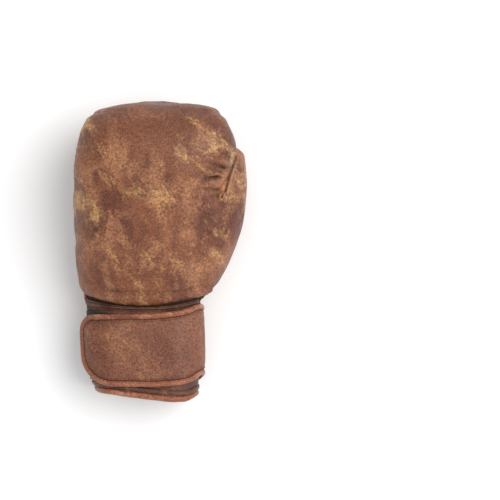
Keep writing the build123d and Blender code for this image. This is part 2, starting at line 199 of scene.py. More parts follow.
def glove_body(p):
    """The whole padded outside."""
    y, z = p.T[1:]
    fist = soft_min(back_body(p), fist_roll(p), 3 + 17 * smooth((y - 100) / 30))
    fist = soft_max(fist, hollow(p, [-73.0, 97.0, 20.0], [11.0, 9.0, 30.0]), 3)
    fist = soft_max(fist, hollow(p, [56.0, 99.0, 18.0], [9.0, 8.5, 30.0]), 3)
    d = soft_min(fist, cuff_tube(p), 1.5 + 9 * smooth((40 - z) / 20))
    return soft_min(d, thumb_body(p), 2 + 15 * smooth((58 - y) / 16))


def gradient(field, p, step=0.25):
    g = np.empty_like(p)
    for axis in range(3):
        shift = np.zeros(3)
        shift[axis] = step
        g[:, axis] = (field(p + shift) - field(p - shift)) / (2 * step)
    return g


# ---- meshing the padded body
def grid_mesh(field, low, high, size):
    """A closed quad mesh of field = 0: one vertex in every grid cell that the surface crosses."""
    axes = [np.arange(a, b + size, size) for a, b in zip(low, high)]
    grid = np.stack(np.meshgrid(*axes, indexing="ij"), -1)
    f = field(grid.reshape(-1, 3)).reshape(grid.shape[:3])
    inside = f < 0
    n = np.array(f.shape) - 1

    def corner(a, i, j, k):
        return a[i:i + n[0], j:j + n[1], k:k + n[2]]

    count = sum(corner(inside, i, j, k).astype(int) for i in (0, 1) for j in (0, 1) for k in (0, 1))
    active = (count > 0) & (count < 8)
    index = np.full(n, -1)
    index[active] = np.arange(active.sum())
    total, hits = np.zeros((active.sum(), 3)), np.zeros(active.sum())
    for axis in range(3):
        for j in (0, 1):
            for k in (0, 1):
                start = np.insert([j, k], axis, 0)
                end = start + np.eye(3, dtype=int)[axis]
                fa, fb = corner(f, *start)[active], corner(f, *end)[active]
                cross = (fa < 0) != (fb < 0)
                t = np.where(cross, fa / np.where(cross, fa - fb, 1), 0)
                total += (start + t[:, None] * np.eye(3)[axis]) * cross[:, None]
                hits += cross
    points = (np.argwhere(active) + total / hits[:, None]) * size + low
    quads = []
    for axis in range(3):
        second, third = (axis + 1) % 3, (axis + 2) % 3
        a = np.moveaxis(inside, (axis, second, third), (0, 1, 2))
        cell = np.moveaxis(index, (axis, second, third), (0, 1, 2))
        here, there = a[:-1, 1:-1, 1:-1], a[1:, 1:-1, 1:-1]
        for start_inside in (True, False):
            i, j, k = np.nonzero((here != there) & (here == start_inside))
            j, k = j + 1, k + 1
            ring = [cell[i, j - 1, k - 1], cell[i, j, k - 1], cell[i, j, k], cell[i, j - 1, k]]
            quads.append(np.stack(ring if start_inside else ring[::-1], 1))
    return points, np.concatenate(quads)


def pull_on(points, field, rounds=5):
    for _ in range(rounds):
        g = gradient(field, points)
        points = points - g * (field(points) / np.maximum((g * g).sum(1), 0.05))[:, None]
    return points


def relax(points, quads, field, rounds=3):
    """Evens the mesh out along the surface."""
    pairs = np.concatenate([quads[:, [0, 1]], quads[:, [1, 2]], quads[:, [2, 3]], quads[:, [3, 0]]])
    for _ in range(rounds):
        total, count = np.zeros_like(points), np.zeros(len(points))
        for a, b in (pairs.T, pairs.T[::-1]):
            np.add.at(total, a, points[b])
            np.add.at(count, a, 1)
        points = points * 0.4 + total / count[:, None] * 0.6
        points = pull_on(points, field, 2)
    return points


def placed(name, data):
    thing = bpy.data.objects.new(name, data)
    bpy.context.scene.collection.objects.link(thing)
    return thing


def new_object(name, points, faces):
    """A smooth mesh from points in millimetres."""
    mesh = bpy.data.meshes.new(name)
    mesh.from_pydata((np.asarray(points) * 0.001).tolist(), [], [list(map(int, f)) for f in faces])
    mesh.update()
    mesh.shade_smooth()
    return placed(name, mesh)


def paint_seams_and_shade(piece, values):
    """Stores how dark each of the piece's points is painted, from 0 to 1: dark lines along the seams and
    painted shade.
    """
    attribute = piece.data.attributes.new("seam", "FLOAT", "POINT")
    attribute.data.foreach_set("value", np.asarray(values, np.float32))
    return piece


def read_points(piece):
    """The piece's points after its modifiers, in millimetres, and its faces."""
    graph = bpy.context.evaluated_depsgraph_get()
    mesh = piece.evaluated_get(graph).data
    points = np.empty(len(mesh.vertices) * 3)
    mesh.vertices.foreach_get("co", points)
    loops = np.empty(len(mesh.loops), int)
    mesh.loops.foreach_get("vertex_index", loops)
    starts = np.empty(len(mesh.polygons), int)
    mesh.polygons.foreach_get("loop_start", starts)
    return points.reshape(-1, 3) * 1000, np.split(loops, starts[1:])


def inflate(points, quads, pinned, cap):
    """Blows the body up as cloth that is held along its seams, and limits how far a point may move."""
    piece = new_object("inflating", points, quads)
    group = piece.vertex_groups.new(name="seams")
    for i, weight in enumerate(pinned):
        if weight > 0.02:
            group.add([i], float(weight), "REPLACE")
    cloth = piece.modifiers.new("cloth", "CLOTH")
    s = cloth.settings
    s.vertex_group_mass = "seams"
    s.quality = 4
    s.mass = 0.25
    s.tension_stiffness, s.compression_stiffness = 12, 12
    s.shear_stiffness, s.bending_stiffness = 4, 0.6
    s.use_pressure, s.uniform_pressure_force = True, 4.0
    s.shrink_min = -0.012
    s.effector_weights.gravity = 0
    cloth.collision_settings.use_collision = False
    for number in range(1, CLOTH_FRAMES + 1):
        bpy.context.scene.frame_set(number)
    moved, _ = read_points(piece)
    bpy.context.scene.frame_set(1)
    bpy.data.objects.remove(piece)
    shift = moved - points
    far = np.linalg.norm(shift, axis=1, keepdims=True)
    return points + shift * np.minimum(1, cap / np.maximum(far, 1e-6))


def subdivided(points, faces):
    piece = new_object("subdividing", points, faces)
    piece.modifiers.new("fine", "SUBSURF").levels = 1
    fine, polygons = read_points(piece)
    bpy.data.objects.remove(piece)
    return fine, np.array(polygons)


def vertex_normals(points, triangles):
    a, b, c = (points[triangles[:, i]] for i in range(3))
    face = np.cross(b - a, c - a)
    total = np.zeros_like(points)
    for i in range(3):
        np.add.at(total, triangles[:, i], face)
    return unit(total)


def cut(data, triangles, values):
    """Splits the triangles along values = 0; the columns of data are carried to the new points."""
    values = np.where(np.abs(values) < 0.06, 0.06, values)
    positive = values > 0
    count = positive[triangles].sum(1)
    whole, crossed = triangles[(count == 0) | (count == 3)], triangles[(count == 1) | (count == 2)]
    side = positive[crossed]
    alone = np.where((side.sum(1) == 1)[:, None], side, ~side).argmax(1)
    a, b, c = crossed[np.arange(len(crossed))[:, None], (alone[:, None] + [0, 1, 2]) % 3].T
    edges = np.sort(np.concatenate([np.stack([a, b], 1), np.stack([a, c], 1)]), 1)
    edges, where = np.unique(edges, axis=0, return_inverse=True)
    where = where.reshape(-1)
    t = (values[edges[:, 0]] / (values[edges[:, 0]] - values[edges[:, 1]]))[:, None]
    fresh = data[edges[:, 0]] * (1 - t) + data[edges[:, 1]] * t
    p, q = where[:len(a)] + len(data), where[len(a):] + len(data)
    pieces = [whole, np.stack([a, p, q], 1), np.stack([p, b, c], 1), np.stack([p, c, q], 1)]
    return np.vstack([data, fresh]), np.concatenate(pieces)


# ---- seams of the padded body
def over_thumb(p):
    """Positive on the thumb."""
    return np.minimum(back_body(p), cuff_tube(p)) - thumb_body(p)


def over_cuff(p):
    """Positive on the back of the cuff, below the padding's lip."""
    return back_body(p) - cuff_tube(p)


def below_side_seam(p):
    """Positive on the palm side of the sewn join that runs round the fist."""
    return spline([-60, -20, 30, 70, 100, 130, 153], [37.4, 36, 40, 46, 52, 60, 66], p[:, 1]) - p[:, 2]


def over_roll(p):
    return back_body(p) - fist_roll(p) + 200 * smooth((p[:, 1] - 104) / 10)


def past_band(p):
    return p[:, 1] - (60.0 + 0.0021 * (p[:, 0] + 10) ** 2)


def in_gusset(p):
    """The gap beside each end of the fist roll."""
    return np.minimum(p[:, 1] - (74.0 + 0.0024 * (p[:, 0] + 10) ** 2), 109.0 - p[:, 1])


def right_of_welt(p):
    return p[:, 0] - spline([-60, -44, -20, 4, 27, 58, 64], [43, 38.5, 30.8, 28.6, 29.8, 34.5, 36], p[:, 1])


def past_mesh(p):
    edge = spline([-100, -87, -58, -27, -5, 10, 22, 37, 46], [53, 47, 31.5, 15, 7.5, -3, -22, -46, -60],
                  p[:, 0])
    return (p[:, 1] - edge) * 0.8


def on_thumb_inside(p):
    edge = spline([-60, -39, 0, 40, 70, 97, 112], [36, 41, 55, 62.5, 64, 61, 57], p[:, 1])
    return np.minimum(edge - p[:, 0], 50 - p[:, 2])


def mouth_line(x):
    return MOUTH_Y + 0.7 + 9.0 * smooth((26 - x) / 100) + 4.5 * smooth((x - 26) / 14)


def past_mouth(p):
    return p[:, 1] - mouth_line(p[:, 0])


def outside_slit(p):
    gap = np.maximum(np.abs(p[:, 0] - SLIT_X) - SLIT_HALF, p[:, 1] - SLIT_END)
    return np.maximum(gap, p[:, 2] - 30)


def facing_field(p):
    """Negative on the stitched facing round the slit."""
    x, y = p[:, 0] - SLIT_X, p[:, 1]
    d = np.hypot(np.maximum(np.abs(x + 1) - 4, 0), np.maximum(y + 20, 0)) - 12.5
    return np.maximum(d, p[:, 2] - 26)


FIELDS = {
    "thumb": over_thumb, "cuff": over_cuff, "side": below_side_seam, "roll": over_roll, "band": past_band,
    "gusset": in_gusset, "mesh": past_mesh, "welt": right_of_welt, "inside": on_thumb_inside,
    "mouth": past_mouth, "slit": outside_slit, "facing": facing_field,
}


def panel_of(p):
    """The name of the panel that each point lies on."""
    f = {name: field(p) > 0 for name, field in FIELDS.items()}
    palm, name = f["side"], np.full(len(p), "back_leather", dtype=object)
    name[palm & ~f["mesh"]] = "palm_leather"
    name[palm & f["mesh"]] = "palm_mesh"
    name[palm & f["band"]] = "finger_band_leather"
    name[palm & f["mesh"] & f["welt"]] = "palm_leather"
    name[palm & f["mesh"] & f["welt"] & f["inside"]] = "thumb_inner_leather"
    name[palm & f["band"] & (p[:, 1] > 100)] = "back_leather"
    name[palm & f["gusset"] & (p[:, 0] < -20)] = "fist_side_gusset_little"
    name[palm & f["gusset"] & (p[:, 0] > 20)] = "fist_side_gusset_thumb"
    name[palm & f["roll"] & f["band"]] = "fist_face_leather"
    name[f["cuff"] & ~f["side"]] = "cuff_back_leather"
    name[~f["facing"]] = "slit_facing"
    name[f["thumb"]] = "thumb_outer_leather"
    name[f["thumb"] & f["inside"]] = "thumb_inner_leather"
    name[~f["mouth"] | ~f["slit"]] = "nothing"
    return name


def seam_distance(p):
    """How far each point is, along the surface, from the nearest of the seams; it is only right near one.
    """
    f = {name: field(p) for name, field in FIELDS.items()}
    off_thumb = f["thumb"] < 0
    palm = (f["side"] > -6) & off_thumb
    seams = [
        (f["side"], off_thumb & (p[:, 1] > -44)),
        (f["band"], palm & (f["roll"] < 0)),
        (f["gusset"], palm & (f["roll"] < 0)),
        (f["mesh"], palm & (p[:, 1] < 62)),
        (f["welt"], palm & (f["mesh"] > 0) & (f["band"] < 0)),
        (f["inside"], f["thumb"] > 0),
        (f["cuff"] * 0.7, p[:, 2] > 34),
    ]
    return np.minimum.reduce([np.where(where, np.abs(values), 99.0) for values, where in seams])


# ---- the body's own wrinkles
def crease(p, a, b, depth, width):
    """How deep a valley from a to b is, seen from above; it fades towards b."""
    a, b = np.array(a, float), np.array(b, float)
    along = (p[:, :2] - a) @ (b - a) / ((b - a) @ (b - a))
    t = np.clip(along, 0, 1)
    away = np.linalg.norm(p[:, :2] - a - t[:, None] * (b - a), axis=1)
    return depth * bell(away, width) * (1 - t) * smooth((p[:, 2] - 55) / 10)


BACK_CREASES = [
    ((67, 82), (46, 89), 4.4, 2.0), ((61, 73), (38, 69.5), 5.2, 1.7), ((60, 61.5), (38, 62), 3.6, 1.7),
    ((71, 92), (56, 101), 2.4, 2.2), ((64, 78), (50, 82), 3.0, 1.4), ((60, 56.5), (44, 55), 2.4, 2.2),
    ((-48, -40), (-4, -44), 2.2, 2.4), ((34, -38), (-4, -44), 2.2, 2.4), ((26, -32), (0, -35), 1.0, 3.0),
    ((84, 62), (74, 60), 1.7, 1.3), ((85, 70), (76, 68), 1.9, 1.2), ((85, 77), (77, 75), 1.8, 1.2),
    ((85, 84), (79, 83), 1.5, 1.2), ((74, 50), (67, 40), 1.6, 2.0), ((66, 50), (60, 36), 1.0, 2.4),
]
PUCKER_PITCH, SIDE_PUCKER_PITCH = 6.3, 5.6
THUMB_GAP = [(76.6, 96), (73.6, 86), (70.6, 76), (68.0, 67), (65.4, 60)]


def creases(p):
    return sum(crease(p, *line) for line in BACK_CREASES)


def shade_of_folds(p):
    """0 to 1: how much painted shade the leather gets in the gap beside the thumb's welt, along the pinches
    and creases, and under the lip.
    """
    gap = sum(crease(p, a, b, 0.5, 1.5) + crease(p, b, a, 0.5, 1.5)
              for a, b in zip(THUMB_GAP, THUMB_GAP[1:]))
    away = over_cuff(p)
    lip = bell(away, np.where(away > 0, 5.0, 1.8))
    lip = lip * smooth((p[:, 2] - 34) / 6) * smooth((-p[:, 1] - 38) / 6)
    return np.clip(1.6 * gap + lip + 0.22 * creases(p), 0, 1)


def surface_detail(p):
    """How far each point stands out of the plain surface: puckered seams, folds, soft unevenness."""
    d = seam_distance(p)
    out = -1.3 * bell(d, 1.7) + 0.5 * bell(d - 5.5, 3.5)
    along = p[:, 0] * 0.62 + p[:, 1] * 0.78
    wave = np.sin(along * 2 * math.pi / PUCKER_PITCH + 1.6 * low_noise(p, 30, 3))
    out += 0.28 * (wave * bell(d - 3, 3.2)) * (d < 20)
    side = bell(p[:, 0] + 84, 9) * smooth((p[:, 1] - 62) / 12) * smooth((128 - p[:, 1]) / 14)
    out += 0.18 * side * np.sin(p[:, 1] * 2 * math.pi / SIDE_PUCKER_PITCH + 1.3 * low_noise(p, 24, 5))
    out -= creases(p)
    out += 0.42 * low_noise(p, 46, 11) + 0.2 * low_noise(p, 17, 12)
    cuff = smooth((-p[:, 1] - 56) / 6)
    out += cuff * 0.25 * low_noise(p * [1, 0.4, 1], 22, 14)
    out += 0.9 * smooth(-facing_field(p) / 1.2) * smooth((p[:, 1] - MOUTH_Y) / 6)
    return out * smooth((p[:, 2] - 1.0) / 8)


REST, SHOWN, NORMAL = slice(0, 3), slice(3, 6), slice(6, 9)


def build_body():
    """The padded outside, cut into panels: data columns are rest place, shown place and normal."""
    low, high = [-96.0, MOUTH_Y - 10, -6.0], [96.0, 162.0, 134.0]
    points, quads = grid_mesh(glove_body, low, high, CELL)
    points = relax(pull_on(points, glove_body), quads, glove_body)
    shown = points
    held = 1 - smooth((seam_distance(points) - 2.0) / 3.0)
    held = np.maximum(held, smooth((-points[:, 1] - 40) / 6))
    held = np.maximum(held, 1 - smooth((points[:, 2] - 3) / 6))
    shown = inflate(points, quads, held, 1.7)
    rest, faces = subdivided(points, quads)
    shown, _ = subdivided(shown, quads)
    triangles = np.concatenate([faces[:, [0, 1, 2]], faces[:, [0, 2, 3]]])
    shown = shown + vertex_normals(shown, triangles) * surface_detail(rest)[:, None]
    shown[:, 2] = np.maximum(shown[:, 2], 0.05)
    data = np.hstack([rest, shown, vertex_normals(shown, triangles)])
    for field in FIELDS.values():
        data, triangles = cut(data, triangles, field(data[:, REST]))
    return data, triangles


def panel_piece(name, data, triangles):
    """One panel as an object, shaded with the whole body's normals so that seams meet evenly."""
    used, local = np.unique(triangles, return_inverse=True)
    rows = data[used]
    piece = new_object(name, rows[:, SHOWN], local.reshape(-1, 3))
    piece.data.normals_split_custom_set_from_vertices(unit(rows[:, NORMAL]).tolist())
    # Dark lines along the seams, their own dark join with painted shade in their grooves, then the painted
    # shade of the folds.
    depth = bell(seam_distance(rows[:, REST]), 2.4)
    return paint_seams_and_shade(piece, np.clip(depth + shade_of_folds(rows[:, REST]), 0, 1))


body_data, body_triangles = build_body()
SKIN_TREE = kdtree.KDTree(len(body_data))
for index, row in enumerate(body_data):
    SKIN_TREE.insert(row[:3], index)
SKIN_TREE.balance()


def as_shown(points):
    """Points near the plain body, moved as the skin nearest to them is moved."""
    shift = body_data[:, SHOWN] - body_data[:, REST]
    moved = []
    for p in points:
        near = [(i, 1 / (0.3 + d)) for _, i, d in SKIN_TREE.find_n(p, 6)]
        moved.append(sum(shift[i] * w for i, w in near) / sum(w for _, w in near))
    return points + np.array(moved)


body_names = panel_of(body_data[body_triangles][:, :, REST].mean(1))
PANELS = {panel: panel_piece(panel + "_looks", body_data, body_triangles[body_names == panel])
          for panel in sorted(set(body_names) - {"nothing"})}


# ---- things wrapped round the cuff
ARC = CORNER * math.pi / 2
FLAT, SIDE = HALF_W - CORNER, 2 * (HALF_H - CORNER)
HALF_WAY = 2 * FLAT + SIDE + 2 * ARC
S_SLIT = HALF_WAY + CUFF_X - SLIT_X


def around(s):
    """Place and outward direction, in X and Z, at a distance s round the cuff from the top of its back."""
    s = np.asarray(s, float)
    r = np.mod(s + HALF_WAY, 2 * HALF_WAY) - HALF_WAY
    sign, r = np.where(r < 0, -1.0, 1.0), np.abs(r)
    turn = sum(np.clip((r - start) / CORNER, 0, math.pi / 2) for start in (FLAT, FLAT + ARC + SIDE))
    out_x, out_z = np.sin(turn), np.cos(turn)
    x = np.minimum(r, FLAT) - np.maximum(r - FLAT - 2 * ARC - SIDE, 0) + CORNER * out_x
    z = (HALF_H - CORNER) - np.clip(r - FLAT - ARC, 0, SIDE) + CORNER * out_z
    return np.stack([CUFF_X + sign * x, CUFF_Z + z], -1), np.stack([sign * out_x, out_z], -1)


def on_cuff(s, y, h):
    """A point at s round the cuff, y along it and h over its leather."""
    place, out = around(s)
    y = np.asarray(y, float) + 0 * place[..., 0]
    x = place[..., 0] + out[..., 0] * h
    z = np.maximum(place[..., 1] + out[..., 1] * h, 0.08)
    return np.stack([x + cuff_shift(x, y), y, z], -1)


def strap_stand_off(s):
    """The strap's free end stands away from the cuff."""
    return 0.0042 * np.maximum(-34 - s, 0) ** 2


def on_strap(s, y, h):
    return on_cuff(s, y, h + strap_stand_off(np.asarray(s, float)))


S_ROOT, S_THUMB_SIDE, S_BACK, S_TIP = 155.4, 76.0, 0.0, -66.0
STRAP_LOW, STRAP_HIGH = -136.5, -64.5
TIP_LOW_CORNER, TIP_HIGH_CORNER = 34.0, 19.0


def corner_cut(s, radius):
    t = np.clip(radius - (s - S_TIP), 0, radius)
    return radius - np.sqrt(radius * radius - t * t)


def strap_low(s):
    rise = spline([-80, -23, 18, 45, 65, 80, 101, 126, 156],
                  [1.5, 0.5, 0.5, 3.5, 10.5, 8.5, 0, -4.5, -4.5], s)
    return STRAP_LOW + rise + corner_cut(s, TIP_LOW_CORNER)


def strap_high(s):
    rise = spline([-80, -58, -23, 18, 40, 59, 76, 101, 126, 156], [0, 0, 1, 2, 5, 10, 9, 0, -7.5, -7.5], s)
    return STRAP_HIGH + rise - corner_cut(s, TIP_HIGH_CORNER)


def strap_run(step, last):
    """Distances along the strap from its root to its tip, closer together where its corners are round."""
    corner, end = S_TIP + 36, S_TIP + 6
    return np.concatenate([np.arange(S_ROOT, corner, -step), np.arange(corner, end, -step / 2),
                           S_TIP + (end - S_TIP) * np.linspace(1, 0, last) ** 2])


def strap_outline():
    """The strap's edge, flat, from its root along the lower edge, round the tip and back."""
    run = strap_run(2.0, 14)
    low = np.stack([run, strap_low(run)], 1)
    high = np.stack([run, strap_high(run)], 1)[::-1]
    end = np.linspace(low[-1], high[0], 22)[1:-1]
    return np.concatenate([low, end, high])


def evenly(path, step):
    """The path with its points evenly spaced."""
    path = np.asarray(path, float)
    run = np.concatenate([[0], np.cumsum(np.linalg.norm(np.diff(path, axis=0), axis=1))])
    wanted = np.linspace(0, run[-1], max(int(run[-1] / step), 2) + 1)
    return np.stack([np.interp(wanted, run, path[:, i]) for i in range(path.shape[1])], 1)


def left_of(path):
    """The direction to the left of a flat path, at each of its points."""
    along = unit(np.gradient(path, axis=0))
    return np.stack([-along[:, 1], along[:, 0]], 1)


def edge_distance(s, y):
    """How far flat places on the strap are from its edge."""
    outline = evenly(strap_outline(), 1.4)
    points = np.stack([np.ravel(s), np.ravel(y)], 1)
    nearest = [np.sqrt(((p - outline) ** 2).sum(1)).min() for p in points]
    return np.reshape(nearest, np.shape(s))


def tube_faces(rings, around_ring):
    """The faces over rings of points that follow one another, and then its two ends."""
    faces = []
    for i in range(rings - 1):
        here, there = i * around_ring, (i + 1) * around_ring
        for j in range(around_ring):
            k = (j + 1) % around_ring
            faces.append((here + j, here + k, there + k, there + j))
    last = (rings - 1) * around_ring
    return faces + [tuple(range(around_ring))[::-1], tuple(range(last, last + around_ring))]


def as_triangles(faces):
    return np.array([(f[0], f[i], f[i + 1]) for f in faces for i in range(1, len(f) - 1)])


def outward_faces(points, faces):
    """The faces turned so that they look out of a closed shape."""
    t = as_triangles(faces)
    a, b, c = (points[t[:, i]] for i in range(3))
    volume = np.einsum("ij,ij->i", a, np.cross(b, c)).sum()
    return faces if volume > 0 else [f[::-1] for f in faces]


def ringed_object(name, rings):
    """A closed tube: rings holds a row of points along the tube for each point of its profile."""
    points = np.stack(rings, 1)
    faces = tube_faces(*points.shape[:2])
    points = points.reshape(-1, 3)
    return new_object(name, points, outward_faces(points, faces))


def split_pieces(name, points, faces, key, bounds, dark=None):
    """One closed mesh as several open pieces that share its shading: key is a number for each point."""
    faces = outward_faces(points, faces)
    normals = vertex_normals(points, as_triangles(faces))
    middle = np.array([key[list(f)].mean() for f in faces])
    pieces = []
    for label, low, high in bounds:
        chosen = [f for f, m in zip(faces, middle) if low <= m < high]
        used = sorted({i for f in chosen for i in f})
        where = {old: new for new, old in enumerate(used)}
        piece = new_object(f"{name}_{label}", points[used], [[where[i] for i in f] for f in chosen])
        piece.data.normals_split_custom_set_from_vertices(normals[used].tolist())
        pieces.append(piece if dark is None else paint_seams_and_shade(piece, dark[used]))
    return pieces


STRAP_PARTS = [("root", S_THUMB_SIDE, 999), ("side", S_BACK, S_THUMB_SIDE), ("tip", -999, S_BACK)]
STRAP_WIDTH = STRAP_HIGH - STRAP_LOW
EDGE_STITCHES, INNER_STITCHES = 3.9, 7.4


def strap_grid(inset):
    """Flat places over the strap, inset from its edge: rows along it, columns across it."""
    s = strap_run(1.8, 12)
    edge = np.array([0, 1.5, 3.0, 4.0, 4.5, 4.9, 5.3, 5.8, 6.6, 7.4, 8.2, 10.5, 13, 17, 22, 27, 32])
    across = np.concatenate([edge, STRAP_WIDTH - edge[::-1]]) / STRAP_WIDTH
    low, high = strap_low(s)[:, None], strap_high(s)[:, None]
    y = low + (high - low) * across
    middle, width = (low + high) / 2, np.maximum(high - low, 1)
    y = middle + (y - middle) * (1 - 2 * inset / width)
    s = S_TIP + inset + (s - S_TIP) * (S_ROOT - S_TIP - inset) / (S_ROOT - S_TIP)
    return np.broadcast_to(s[:, None], y.shape).copy(), y


def slab(s, y, low, high, place):
    """A closed sheet between two heights over the same grid of flat places."""
    rows, columns = s.shape
    points = np.concatenate([place(s, y, low).reshape(-1, 3), place(s, y, high).reshape(-1, 3)])
    below = np.arange(rows * columns).reshape(rows, columns)
    above = below + rows * columns
    faces = []
    for i in range(rows - 1):
        for j in range(columns - 1):
            faces.append((above[i, j], above[i, j + 1], above[i + 1, j + 1], above[i + 1, j]))
            faces.append((below[i, j], below[i + 1, j], below[i + 1, j + 1], below[i, j + 1]))
    rim = [(i, 0) for i in range(rows)] + [(rows - 1, j) for j in range(1, columns)]
    rim += [(i, columns - 1) for i in range(rows - 2, -1, -1)]
    rim += [(0, j) for j in range(columns - 2, 0, -1)]
    for a, b in zip(rim, rim[1:] + rim[:1]):
        faces.append((below[a], above[a], above[b], below[b]))
    return points, faces


def tape_grid(s_from, s_to, columns):
    """Distances round the cuff, and shares of the width, over a tape."""
    return np.meshgrid(np.linspace(s_from, s_to, 80), np.linspace(0, 1, columns), indexing="ij")


def strap_sheet(name, s, y, low, high, parts, dark=None):
    """A flat layer of the strap, split into the parts that its joints move."""
    points, faces = slab(s, y, low, high, on_strap)
    return split_pieces(name, points, faces, np.tile(s.ravel(), 2), parts, dark)


def strap_leather():
    s, y = strap_grid(0.4)
    d = edge_distance(s, y)
    flat = np.stack([s.ravel(), y.ravel(), 0 * y.ravel()], 1)
    crown = 0.9 * (1 - np.exp(-np.maximum(d - 5, 0) / 9))
    crown = crown + 0.25 * low_noise(flat, 40, 21).reshape(s.shape)
    crown += 0.12 * low_noise(flat, 13, 22).reshape(s.shape)
    groove = 0.8 * bell(d - 5.2, 0.8)
    # Painted shade in the groove beside the binding, and a faint dark line along the inner stitches.
    dark = np.clip(0.9 * bell(d - 4.9, 1.0) + 0.25 * bell(d - INNER_STITCHES, 0.9), 0, 1)
    top = 4.9 + crown * smooth((140 - s) / 30) - groove
    return strap_sheet("strap_leather", s, y, 3.6, top, STRAP_PARTS, np.tile(dark.ravel(), 2))


def strap_backing():
    return strap_sheet("strap_backing", *strap_grid(1.0), 2.7, 3.55, STRAP_PARTS)


# The strap's binding: distance in from the edge, height over the leather.
BINDING = [(4.7, 4.4), (4.6, 4.9), (4.3, 5.15), (3.9, 5.2), (3.5, 5.15), (3.1, 5.5), (2.4, 6.0),
           (1.6, 6.15), (0.7, 5.95), (-0.1, 5.3), (-0.8, 4.5), (-0.9, 3.6), (-0.3, 2.8), (0.8, 2.35),
           (2.4, 2.2), (3.8, 2.3), (4.4, 3.0)]


def strap_binding():
    path = evenly(strap_outline(), 1.3)
    rings = [on_strap(*(path - left_of(path) * d).T, h) for d, h in BINDING]
    points = np.stack(rings, 1).reshape(-1, 3)
    return split_pieces("strap_binding", points, tube_faces(len(path), len(BINDING)),
                        np.repeat(path[:, 0], len(BINDING)), STRAP_PARTS)


def thread(name, ends, radius=0.28):
    """Stitches: a short rounded rod between each pair of points, arched over the surface."""
    points, faces, sides = [], [], 6
    rings = ((0, 0.35), (0.2, 0.9), (0.5, 1.0), (0.8, 0.9), (1, 0.35))
    for a, b, up in ends:
        across = np.cross(unit(b - a), up)
        faces += [tuple(len(points) + i for i in f) for f in tube_faces(len(rings), sides)]
        for t, r in rings:
            centre = a + (b - a) * t + up * radius * (1.0 - 3.2 * (t - 0.5) ** 2)
            for angle in np.arange(sides) * 2 * math.pi / sides:
                points.append(centre + (across * math.cos(angle) + up * math.sin(angle)) * radius * r)
    points = np.array(points)
    points[:, 2] = np.maximum(points[:, 2], FLOOR_GAP)
    return new_object(name, points, faces)


def stitch_row(path, place, h, length=2.4, gap=1.3):
    """Pairs of stitch ends along a flat path, with the direction out of the surface."""
    fine = 0.2
    even, ends, long = evenly(path, fine), [], int(length / fine)
    for i in range(0, len(even) - long - 1, int((length + gap) / fine)):
        p, q = even[i], even[i + long]
        a, b, up = place(p[0], p[1], h), place(q[0], q[1], h), place(p[0], p[1], h + 1.0)
        ends.append((a, b, unit(up - a), (p[0] + q[0]) / 2))
    return ends


def strap_stitches():
    path = evenly(strap_outline(), 1.0)
    rows = [end for inset in (EDGE_STITCHES, INNER_STITCHES)
            for end in stitch_row(path - left_of(path) * inset, on_strap, 5.0, 2.3, 1.5)]
    return [thread(f"strap_stitches_{label}", [r[:3] for r in rows if low <= r[3] < high])
            for label, low, high in STRAP_PARTS]


def mouth_at(s):
    place, _ = around(s)
    return mouth_line(place[..., 0] + cuff_shift(place[..., 0], MOUTH_Y + 4 + 0 * place[..., 0]))


MOUTH_S = np.linspace(S_SLIT - 2 * HALF_WAY + SLIT_HALF + 0.4, S_SLIT - SLIT_HALF - 0.4, 220)
# The mouth's trim: distance in from the mouth's edge, height over the leather.
HEM_PROFILE = [(5.0, 0.1), (4.7, 1.0), (3.6, 1.7), (2.0, 1.9), (0.6, 1.4), (-0.4, 0.2), (-1.0, -1.8),
               (-1.2, -4.5), (-0.9, -7.2), (-0.2, -9.4), (1.0, -11.2), (3.0, -11.8), (5.2, -11.5),
               (5.2, -9.5)]
FOLD_PROFILE = [(11.4, -0.4), (11.0, 0.7), (9.6, 1.5), (7.6, 1.6), (6.2, 1.1), (5.5, 0.2), (5.5, -0.5),
                (8.5, -0.8)]
# The wrist's roll: share of the way from its lower to its upper edge, height over the leather.
ROLL_PROFILE = [(0.0, -0.6), (0.02, 0.8), (0.12, 1.6), (0.24, 1.4), (0.31, 0.4), (0.36, 0.3), (0.42, 1.5),
                (0.54, 2.7), (0.66, 2.7), (0.74, 1.5), (0.78, 0.9), (0.83, 1.9), (0.90, 2.2), (0.96, 1.3),
                (1.0, -0.6), (0.5, -1.2)]


def mouth_trim(name, profile, waves, scale, seed):
    """A strip that runs round the cuff's mouth, from one side of the slit to the other."""
    rings = np.stack([on_cuff(MOUTH_S, mouth_at(MOUTH_S) + d, h) for d, h in profile])
    rings[..., 1] += waves * low_noise(rings.reshape(-1, 3), scale, seed).reshape(rings.shape[:2])
    return ringed_object(name, rings)


def cuff_top_roll():
    """The padded roll across the back of the wrist, between the lip of the padding and the strap."""
    s = np.linspace(-92, 90, 150)
    shape = smooth((92 - np.abs(s)) / 10) * (0.55 + 0.45 * smooth((40 - s) / 40))
    x = around(s)[0][:, 0]
    bottom, top = np.full(len(s), -60.2) + 3.5 * smooth((x - 6) / 34), lip_y(x) - 0.5
    rings, dark = [], []
    for t, h in ROLL_PROFILE:
        wave = 0.3 * np.sin(s / 7.0) * (h > 2.5)
        rings.append(on_cuff(s, bottom + t * (top - bottom), np.where(h > 0, h * shape + wave, h)))
        # Painted shade: the lower the roll's profile stands, the darker it is painted, so its grooves and
        # edges look shaded.
        dark.append(np.clip(1.15 - 0.5 * h, 0.05, 1) + 0 * s)
    return paint_seams_and_shade(ringed_object("cuff_top_roll_looks", rings), np.stack(dark, 1).ravel())


def loop_tape():
    s, y = tape_grid(-92, 8, 30)
    y = -131 + (70.5 - 4.0 * smooth((s + 62) / 66)) * y
    return new_object("loop_tape_looks", *slab(s, y, 0.1, 1.8, on_cuff))


def hook_tape():
    s, y = tape_grid(40, S_TIP + 12, 24)
    y = strap_low(s) + 8 + (strap_high(s) - strap_low(s) - 16) * y
    parts = [("side", S_BACK, 999), ("tip", -999, S_BACK)]
    return strap_sheet("strap_hook_tape", s, y, 1.6, 2.65, parts)


